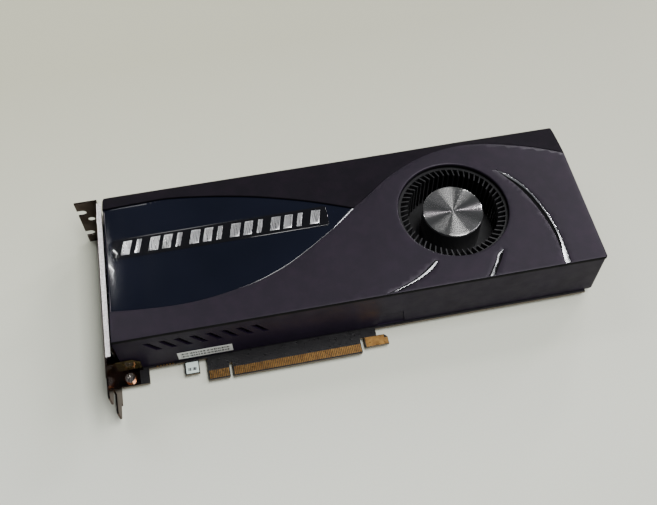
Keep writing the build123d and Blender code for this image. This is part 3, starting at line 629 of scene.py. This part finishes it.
def slab(name, outline, top, floor, radius, material, spacing=3.0, crown=None):
    """Closed flat piece with a rounded upper edge. crown gives extra height from x and y."""
    rings = [shifted(outline, radius * share) for share in (0.12, 0.35, 0.65, 1.0)]
    verts, faces = sheet(outline, rings=rings, spacing=spacing, margin=radius * 0.4)
    height = top - rounded(distance(verts, outline), radius)
    if crown:
        height = height + crown(verts[:, 0], verts[:, 1])
    border = rim(faces)
    count = len(verts)
    upper = np.c_[verts, height]
    lower = np.c_[verts, np.full(count, floor)]
    sides = [(b, a, a + count, b + count) for a, b in border]
    bottom = [(c + count, b + count, a + count) for a, b, c in faces]
    faces = [tuple(f) for f in faces]
    return make_piece(name, np.vstack([upper, lower]), faces + sides + bottom, [material])


# ------------------------------------------------------------------ cover
# Sweeping crease between the raised body and the far strip, which starts at the window's tip.
CREASE = smooth(
    [(143.6, 73.0), (155.4, 81.6), (165.6, 89.3), (177.2, 95.6), (188.5, 100.2), (202.5, 103.4),
     (216.3, 104.0), (229.7, 102.3), (242.8, 99.0), (256.0, 94.6), (COVER_RIGHT + 1, 86.9)],
    6,
)
WINDOW_UPPER = smooth(
    [(COVER_LEFT, 99.4), (24.0, 100.1), (45.0, 99.9), (81.6, 93.7), (114.6, 84.3), (143.6, 73.0)]
)
WINDOW_LOWER = smooth(
    [(143.6, 73.0), (128.5, 60.9), (104.6, 45.4), (87.0, 37.6), (73.8, 34.1), (57.0, 31.2), (40.5, 30.2),
     (21.4, 31.2), (COVER_LEFT, 33.1)]
)
WINDOW = np.vstack([WINDOW_UPPER[:-1], WINDOW_LOWER])
STRIP_EDGE = np.vstack([WINDOW_UPPER, CREASE[1:]])
CORNER = 1.6
WALL_INSET = 0.3


def cover_height(x, y):
    """Level of the cover's skin before its edges are rounded: flat body, strip that falls away beyond."""
    edge = np.interp(x, STRIP_EDGE[:, 0], STRIP_EDGE[:, 1])
    share = np.clip((y - edge) / np.maximum(COVER_FAR - edge, 1.0), 0, 1)
    fall = (COVER_TOP - FAR_EDGE_HEIGHT) * (0.7 * share + 0.3 * share**2)
    return COVER_TOP - fall


def cover_outline(inset=0.0):
    """Plan of the cover with its two rounded end corners, anticlockwise from the near left."""
    low, high = COVER_NEAR + inset, COVER_FAR - inset
    left, right = COVER_LEFT, COVER_RIGHT - inset
    turn = np.linspace(0, math.pi / 2, 7)
    near_corner = np.c_[right - CORNER + CORNER * np.sin(turn), low + CORNER - CORNER * np.cos(turn)]
    far_corner = np.c_[right - CORNER + CORNER * np.cos(turn), high - CORNER + CORNER * np.sin(turn)]
    near_side = [(x, low) for x in np.linspace(left, right - CORNER, 68)[:-1]]
    far_side = [(x, high) for x in np.linspace(right - CORNER, left, 68)[1:]]
    right_side = [(right, y) for y in np.linspace(low + CORNER, high - CORNER, 26)[1:-1]]
    left_side = [(left, y) for y in np.linspace(high, low, 26)[1:-1]]
    return np.array([*near_side, *near_corner, *right_side, *far_corner, *far_side, *left_side])


# Grooves for the blade-shaped trims: one side, then the other, from the pointed end to the near edge.
TRIM_FOOT = COVER_NEAR + 0.9
LONG_SIDES = (
    [(229.2, 83.3), (235.9, 77.7), (241.6, 69.8), (246.2, 59.5), (249.3, 48.0), (250.9, 37.7),
     (251.5, 27.4), (251.3, TRIM_FOOT)],
    [(229.2, 83.3), (232.9, 77.4), (237.9, 69.4), (242.5, 59.2), (245.9, 47.8), (247.9, 37.6),
     (248.6, 27.4), (248.2, TRIM_FOOT)],
)
MID_SIDES = (
    [(218.2, 30.4), (215.4, 25.0), (212.3, 20.3), (208.7, TRIM_FOOT)],
    [(218.2, 30.4), (214.2, 28.2), (212.0, 24.4), (209.0, 20.3), (204.9, TRIM_FOOT)],
)
SHORT_SIDES = (
    [(181.2, 29.6), (176.5, 24.6), (168.8, 20.4), (161.0, 17.3), (155.0, TRIM_FOOT)],
    [(181.2, 29.6), (179.6, 30.3), (176.5, 28.1), (171.4, 24.3), (166.2, 21.2), (159.0, 18.2),
     (150.0, TRIM_FOOT)],
)
SKIN = 2.2
GROOVE_DEPTH = 1.5
WINDOW_FLOOR = 32.0


def closed_outline(sides):
    first, second = (smooth(side, 6) for side in sides)
    return np.vstack([first, second[:0:-1]])


def cover_skin():
    """Top of the cover in one sheet, with the crease, the rounded edges, and walls down each opening."""
    outline = cover_outline()
    fan_hole = circle(FAN, INTAKE_RADIUS, 120)
    grooves = [closed_outline(sides) for sides in (LONG_SIDES, MID_SIDES, SHORT_SIDES)]
    holes = [fan_hole, WINDOW, *grooves]
    edge_radius = {"outer": 0.7, "fan": 0.9, "window": 0.35, "groove": 0.22}
    kinds = ["fan", "window", "groove", "groove", "groove"]
    rings = []
    for share in (0.15, 0.4, 0.7, 1.0):
        rings.append(shifted(outline, edge_radius["outer"] * share))
        rings.append(circle(FAN, INTAKE_RADIUS + edge_radius["fan"] * share, 120))
    for share in (0.35, 1.0):
        rings.append(shifted(WINDOW, -edge_radius["window"] * share))
        rings.extend(shifted(groove, -edge_radius["groove"] * share) for groove in grooves)
    ahead = np.gradient(CREASE, axis=0)
    aside = np.c_[-ahead[:, 1], ahead[:, 0]] / np.hypot(*ahead.T)[:, None]
    groove_half = 0.36
    crease_in = CREASE[1:-1]
    lines = [crease_in, crease_in + groove_half * aside[1:-1], crease_in - groove_half * aside[1:-1]]
    lines = [line[line[:, 0] < COVER_RIGHT - 1.0] for line in lines]
    for back in (1.6, 2.4, 3.2):
        ends = (COVER_LEFT + 1, COVER_FAR - back), (COVER_RIGHT - 2, COVER_FAR - back)
        lines.append(np.linspace(*ends, 90))
    verts, faces = sheet(outline, holes, rings, lines, spacing=3.2, margin=0.5)
    x, y = verts.T
    height = cover_height(x, y)
    # thin line along the crease, faint over its crown
    near_crown = 1 - 0.85 * np.exp(-(((x - 208) / 26) ** 2))
    height -= 0.4 * near_crown * np.clip(1 - distance(verts, CREASE, False) / groove_half, 0, 1)
    height -= rounded(distance(verts, outline), edge_radius["outer"])
    height -= rounded(COVER_FAR - y, 3.0) * 0.9
    for hole, kind in zip(holes, kinds):
        height -= rounded(distance(verts, hole), edge_radius[kind])
    # walls down from every border, in the painted-shade material
    border = rim(faces)
    used = sorted({i for edge in border for i in edge})
    spots = verts[used]
    near_hole = np.array([distance(spots, hole) for hole in holes])
    floors = [COVER_TOP - SKIN - 0.6, WINDOW_FLOOR] + [COVER_TOP - GROOVE_DEPTH] * 3
    on_hole = near_hole.min(0) < 1e-3
    floor = np.where(on_hole, np.array(floors)[near_hole.argmin(0)], height[used] - 1.1)
    floor = np.where((~on_hole) & (spots[:, 1] > COVER_FAR - 0.01), height[used] - 1.6, floor)
    count = len(verts)
    renumber = {i: count + k for k, i in enumerate(used)}
    walls = [(b, a, renumber[a], renumber[b]) for a, b in border]
    under = np.c_[spots, floor]
    middle = verts[faces].mean(1)
    edge = np.interp(middle[:, 0], STRIP_EDGE[:, 0], STRIP_EDGE[:, 1])
    on_body, on_strip, on_shade = range(3)
    # painted shade: faces beyond the crease take the strip's darker paint
    tone = np.where(middle[:, 1] > edge, on_strip, on_body)
    # painted shade: the rounded near edge of the top takes the dark material, a dark seam line above the
    # near wall
    near_rim = (distance(middle, outline) < 0.7 * edge_radius["outer"]) & (middle[:, 1] < COVER_NEAR + 1)
    tone[near_rim] = on_shade
    choice = list(tone) + [on_shade] * len(walls)
    made = make_piece(
        "cover_skin",
        np.vstack([np.c_[verts, height], under]),
        [tuple(f) for f in faces] + walls,
        [cover_paint, strip_shade_paint, shade_plastic],
        choice=choice,
        sharp=50,
    )
    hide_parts("shroud")
    # floors of the grooves and of the window's seat, in the painted-shade material
    for i, groove in enumerate(grooves):
        floor_verts, floor_faces = sheet(groove, spacing=2.0, margin=0.3)
        level = np.full(len(floor_verts), COVER_TOP - GROOVE_DEPTH)
        bed = make_piece(f"groove_bed_{i + 1}", np.c_[floor_verts, level], floor_faces, [shade_plastic])
    seat_verts, seat_faces = sheet(WINDOW, spacing=8.0, margin=1.0)
    level = np.full(len(seat_verts), WINDOW_FLOOR - 0.05)
    seat = make_piece("window_seat", np.c_[seat_verts, level], seat_faces, [shade_plastic])


VENT = np.array([(18.2, 27.0), (24.4, 18.0), (27.8, 18.0), (21.6, 27.0)])
VENT_COUNT = 8
VENT_PITCH = 8.2
WALL_THICKNESS = 1.6


def bend_flags(path):
    """Which places of a path lie on a bend."""
    heading = np.unwrap(np.arctan2(*np.gradient(path, axis=0).T[::-1]))
    return np.abs(np.gradient(heading)) > 0.01


def cover_walls():
    """Near, end and far walls as one strip, drawn flat and then wrapped round the corners."""
    path = cover_outline(WALL_INSET)
    right = COVER_RIGHT - WALL_INSET
    start = int(np.argmin(np.hypot(path[:, 0] - COVER_LEFT, path[:, 1] - COVER_NEAR - WALL_INSET)))
    stop = int(np.argmin(np.hypot(path[:, 0] - COVER_LEFT, path[:, 1] - COVER_FAR + WALL_INSET)))
    path = path[start : stop + 1]
    step = np.hypot(*np.diff(path, axis=0).T)
    run = np.r_[0, np.cumsum(step)]
    length = run[-1]
    top, foot = COVER_TOP - 1.2, COVER_FOOT
    far_start = length - (right - CORNER - COVER_LEFT)

    def along_far(x):
        """Position on the strip of a place at x on the far wall."""
        return far_start + (right - CORNER - x)

    # plug and bridge openings along the far wall's foot, as (middle, half width, height)
    cuts = [(234.0, 22.0, 16.6), (60.0, 8.5, 6.0), (34.0, 8.5, 6.0)]
    lower = [(s, foot) for s in np.linspace(0, far_start, 90)]
    for middle, half, height in cuts:
        first, last = along_far(middle + half), along_far(middle - half)
        lower += [(first, foot), (first, height), (last, height), (last, foot)]
    lower.append((length, foot))
    upper = [(s, top) for s in np.linspace(length, 0, 180)]
    outline = np.array([*lower, *upper])
    vents = []
    for i in range(VENT_COUNT):
        shift = VENT_PITCH * i - COVER_LEFT
        vents.append(VENT + (shift, 0.0))
    recess = np.array([(141.3, 0.7), (157.3, 0.7), (155.8, 13.0), (142.8, 13.0)])
    rings = [recess, shifted(recess, 0.5)]
    # upright lines where the strip bends round the two end corners
    bends = [np.array([(s, foot + 0.4), (s, top - 0.4)]) for s, turn in zip(run, bend_flags(path)) if turn]
    verts, faces = sheet(outline, vents, rings, bends, spacing=4.0, margin=0.6)
    depth = 0.9 * np.clip(distance(verts, recess) / 0.5, 0, 1) * inside(verts, recess)
    # rounding above the wall at the far side, where the skin comes lower
    s, z = verts.T
    x = np.interp(s, run, path[:, 0])
    y = np.interp(s, run, path[:, 1])
    heading = np.gradient(path, axis=0)
    heading /= np.hypot(*heading.T)[:, None]
    nx = np.interp(s, run, heading[:, 1])
    ny = np.interp(s, run, -heading[:, 0])
    limit = cover_height(x, np.minimum(y, COVER_FAR)) - 1.0
    limit = np.where(y > COVER_FAR - 4, FAR_EDGE_HEIGHT - 3.0, limit)
    z = np.minimum(z, limit)
    outer = np.c_[x - nx * depth, y - ny * depth, z]
    inner = np.c_[x - nx * WALL_THICKNESS, y - ny * WALL_THICKNESS, z]
    count = len(verts)
    border = rim(faces)
    around = [(b, a, a + count, b + count) for a, b in border]
    back = [(c + count, b + count, a + count) for a, b, c in faces]
    made = make_piece(
        "cover_walls",
        np.vstack([outer, inner]),
        [tuple(f) for f in faces] + around + back,
        [wall_plastic],
    )
    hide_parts("shroud")


cover_skin()
cover_walls()


# ------------------------------------------------------------------ window, nameplate and trims
WINDOW_TOP = 33.7


def window_crown(x, y):
    """Gentle swelling across the window, with a soft fall towards the bracket."""
    far = np.interp(x, WINDOW_UPPER[:, 0], WINDOW_UPPER[:, 1])
    near = np.interp(x, WINDOW_LOWER[::-1, 0], WINDOW_LOWER[::-1, 1])
    middle = 0.5 * (far + near)
    half = np.maximum(middle - near, 2.0)
    across = np.clip((y - middle) / half, -1, 1)
    left_fall = np.clip(1 - (x - COVER_LEFT) / 2.4, 0, 1) ** 2
    return 0.45 * (1 - across**2) * np.clip(half / 34, 0, 1) - 0.5 * left_fall


def window_panel():
    outline = shifted(WINDOW, 0.18)
    made = slab("window_panel", outline, WINDOW_TOP, WINDOW_FLOOR, 0.4, window_gloss, crown=window_crown)
    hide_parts("shroud_window")


NAMEPLATE_TOP = 34.35
NAMEPLATE_FLOOR = 33.2


def nameplate():
    corner = 1.2
    x1, x2, y1, y2 = 8.0, 128.0, 64.6, 77.6
    outline = np.array(
        [(x1 + corner, y1), (x2 - corner, y1), (x2, y1 + corner), (x2, y2 - corner), (x2 - corner, y2),
         (x1 + corner, y2), (x1, y2 - corner), (x1, y1 + corner)]
    )
    made = slab("nameplate_panel", outline, NAMEPLATE_TOP, NAMEPLATE_FLOOR, 0.2, plate_gloss)
    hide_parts("nameplate")


MARK_COUNT = 15
MARK_TOP = 34.6
MARK_FLOOR = 34.3
MARK_WIDTHS = (4.6, 2.6, 5.2)


def nameplate_marks():
    """Row of slanted bars, a generic pattern in place of lettering."""
    left, pitch, low, high = 12.2, 7.5, 66.8, 75.4
    for i in range(MARK_COUNT):
        width = MARK_WIDTHS[i % 3]
        x = left + i * pitch
        lean = 2.2
        outline = np.array([(x, low), (x + width, low), (x + width + lean, high), (x + lean, high)])
        name = f"nameplate_mark_{i + 1}"
        made = slab(name, outline, MARK_TOP, MARK_FLOOR, 0.12, silver_print, spacing=2.5)
        if i == 0:
            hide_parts("nameplate_marks")


TRIM_TOP = COVER_TOP - 0.15


def resample(line, t):
    run = np.r_[0, np.cumsum(np.hypot(*np.diff(line, axis=0).T))]
    run /= run[-1]
    return np.c_[np.interp(t, run, line[:, 0]), np.interp(t, run, line[:, 1])]


FACET_SLOPE = math.tan(math.radians(24))


def blade(name, high_side, low_side, top, floor, node, steps=120, ribs=10):
    """Chrome strip whose face falls from a ridge beside high_side down to low_side, closed all round."""
    t = np.linspace(0, 1, steps)
    first, second = resample(high_side, t), resample(low_side, t)
    width = np.hypot(*(second - first).T)
    verts = []
    for k in range(steps):
        radius = min(0.3, 0.35 * width[k])
        turned = np.linspace(0, 1, 5)[:, None] * math.pi / 2
        ridge = np.hstack([(1 - np.cos(turned)) * radius / width[k], top - radius * (1 - np.sin(turned))])
        fall = min(FACET_SLOPE * (width[k] - radius), top - floor - 0.15)
        section = [(0.0, floor), *map(tuple, ridge)]
        for share in np.linspace(0.1, 1, ribs):
            across = radius / width[k] + share * (1 - radius / width[k])
            section.append((across, top - fall * (0.8 * share + 0.2 * share**2)))
        section.append((1.0, floor))
        for share, z in section:
            spot = first[k] + (second[k] - first[k]) * share
            verts.append((spot[0], spot[1], z))
    around = ribs + 7
    faces = []
    for k in range(steps - 1):
        for i in range(around):
            a, b = k * around + i, k * around + (i + 1) % around
            faces.append((a, b, b + around, a + around))
    faces.append(tuple(range(around))[::-1])
    faces.append(tuple((steps - 1) * around + i for i in range(around)))
    made = make_piece(name, verts, faces, [trim_chrome], sharp=60)
    bm = bmesh.new()
    bm.from_mesh(made.data)
    bmesh.ops.recalc_face_normals(bm, faces=bm.faces)
    bm.to_mesh(made.data)
    bm.free()
    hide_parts(node)


def groove_trim(name, sides, node, places, shares, ridge_first):
    """Chrome along the first side of a groove, filling these shares of its width at these places."""
    t = np.linspace(0.02, 1.0, 160)
    first, far = (resample(smooth(side, 6), t) for side in sides)
    fill = np.interp(t, places, shares)[:, None]
    beside = first + (far - first) * 0.04
    middle = first + (far - first) * (0.04 + fill)
    high, low = (beside, middle) if ridge_first else (middle, beside)
    blade(name, high, low, TRIM_TOP, COVER_TOP - GROOVE_DEPTH, node)


def hub_cap():
    """Turned metal face of the hub with a rounded rim, on a dark edge."""
    radius, top, rim_radius, depth = 16.85, 32.0, 0.12, 0.8
    rings = [circle(FAN, radius - rim_radius * share, 96) for share in (0.3, 0.65, 1.0)]
    outline = circle(FAN, radius, 96)
    verts, faces = sheet(outline, rings=[*rings, circle(FAN, 8.0, 60)], spacing=3.0, margin=0.5)
    height = top - rounded(distance(verts, outline), rim_radius)
    count = len(verts)
    border = rim(faces)
    sides = [(b, a, a + count, b + count) for a, b in border]
    under = [(c + count, b + count, a + count) for a, b, c in faces]
    made = make_piece(
        "hub_cap",
        np.vstack([np.c_[verts, height], np.c_[verts, np.full(count, top - depth)]]),
        [tuple(f) for f in faces] + sides + under,
        [hub_metal, impeller_plastic],
        body="rotor",
        choice=[0] * len(faces) + [1] * (len(sides) + len(under)),
    )
    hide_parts("hub_disc")


def window_tip_trim():
    """Chrome line along the lower edge of the window's tip, widest at the tip."""
    edge = smooth([(143.0, 72.2), (136.2, 66.7), (128.9, 60.9)], 8)
    along = np.gradient(edge, axis=0)
    aside = np.c_[along[:, 1], -along[:, 0]] / np.hypot(*along.T)[:, None]
    width = np.interp(np.linspace(0, 1, len(edge)), (0, 0.06, 0.5, 1), (0.5, 1.25, 0.9, 0.3))
    blade("window_tip_trim", edge, edge + aside * width[:, None], TRIM_TOP, WINDOW_FLOOR, "trim_window")


window_panel()
nameplate()
nameplate_marks()
groove_trim(
    "long_trim_blade", LONG_SIDES, "trim_long",
    (0, 0.3, 0.7, 0.82, 0.93, 1), (0.6, 0.27, 0.27, 0.4, 0.85, 0.92), ridge_first=True,
)
groove_trim(
    "mid_trim_blade", MID_SIDES[::-1], "trim_mid",
    (0, 0.3, 0.5, 0.68, 1), (0.6, 0.45, 0.55, 0.45, 0.93), ridge_first=False,
)
groove_trim(
    "short_trim_blade", SHORT_SIDES[::-1], "trim_short",
    (0, 0.5, 0.8, 1), (0.8, 0.7, 0.5, 0.25), ridge_first=False,
)
window_tip_trim()
hub_cap()


# ------------------------------------------------------------------ stage
def floor():
    size = 3.0
    level = cad_box[0][2]
    mesh = bpy.data.meshes.new("table")
    corners = [(-size, -size, level), (size, -size, level), (size, size, level), (-size, size, level)]
    mesh.from_pydata(corners, [], [(0, 1, 2, 3)])
    made = bpy.data.objects.new("table", mesh)
    bpy.context.scene.collection.objects.link(made)
    mesh.materials.append(table_top("table_top"))


def area_light(name, direction, reach, size, along, power, color=(1, 1, 1)):
    """Rectangular light that looks at the fan's hub. along is the way its second side runs."""
    data = bpy.data.lights.new(name, "AREA")
    data.shape = "RECTANGLE"
    data.size, data.size_y = size
    data.energy = power
    data.color = color
    out = Vector(direction).normalized()
    up = Vector(along)
    up = (up - out * up.dot(out)).normalized()
    across = up.cross(out)
    lamp = bpy.data.objects.new(name, data)
    turn = Matrix((across, up, out)).transposed()
    aim = Vector(place(*FAN, COVER_TOP))
    lamp.matrix_world = Matrix.Translation(aim + out * reach) @ turn.to_4x4()
    bpy.context.scene.collection.objects.link(lamp)


def camera():
    """Camera at the card's left near side, looking down at 58 degrees and slightly along the board."""
    forward = Vector((0.0915, 0.5206, -0.8489)).normalized()
    right = Vector((0.982, -0.1887, -0.0098))
    right = (right - forward * right.dot(forward)).normalized()
    up = right.cross(forward)
    data = bpy.data.cameras.new("camera")
    data.sensor_width = 36.0
    data.lens = 47.68
    data.clip_end = 20
    made = bpy.data.objects.new("camera", data)
    turn = Matrix((right, up, -forward)).transposed()
    made.matrix_world = Matrix.Translation(place(80.4, -200.4, 437.2)) @ turn.to_4x4()
    bpy.context.scene.collection.objects.link(made)
    bpy.context.scene.camera = made


def world():
    made = bpy.data.worlds.new("studio")
    bpy.context.scene.world = made
    made.use_nodes = True
    made.node_tree.nodes["Background"].inputs["Color"].default_value = (0.9, 0.95, 1.0, 1)
    made.node_tree.nodes["Background"].inputs["Strength"].default_value = 0.1


floor()
area_light("ceiling_right", (0.237, -0.22, 0.946), 1.6, (0.50, 1.4), (0, 1, 0), 34)
area_light("far_window", (0.523, 0.7765, 0.351), 1.6, (0.10, 0.5), (0.755, 0.656, 0), 7.5)
area_light("far_slit", (-0.46, 0.515, 0.723), 1.6, (0.04, 0.6), (0.723, 0, 0.46), 4)
area_light(
    "right_slit", (0.689, 0.5275, 0.4965), 1.6, (0.035, 0.9), (0.4965, 0, -0.689), 8, (1.0, 0.93, 1.0)
)
area_light("far_low", (-0.163, 0.86, 0.455), 1.6, (0.8, 0.3), (-0.682, 0.731, 0), 1.9)
area_light(
    "right_window", (0.668, -0.087, 0.739), 1.8, (0.67, 0.8), (-0.574, 0.819, 0), 11, (0.97, 0.95, 1.0)
)
camera()
world()
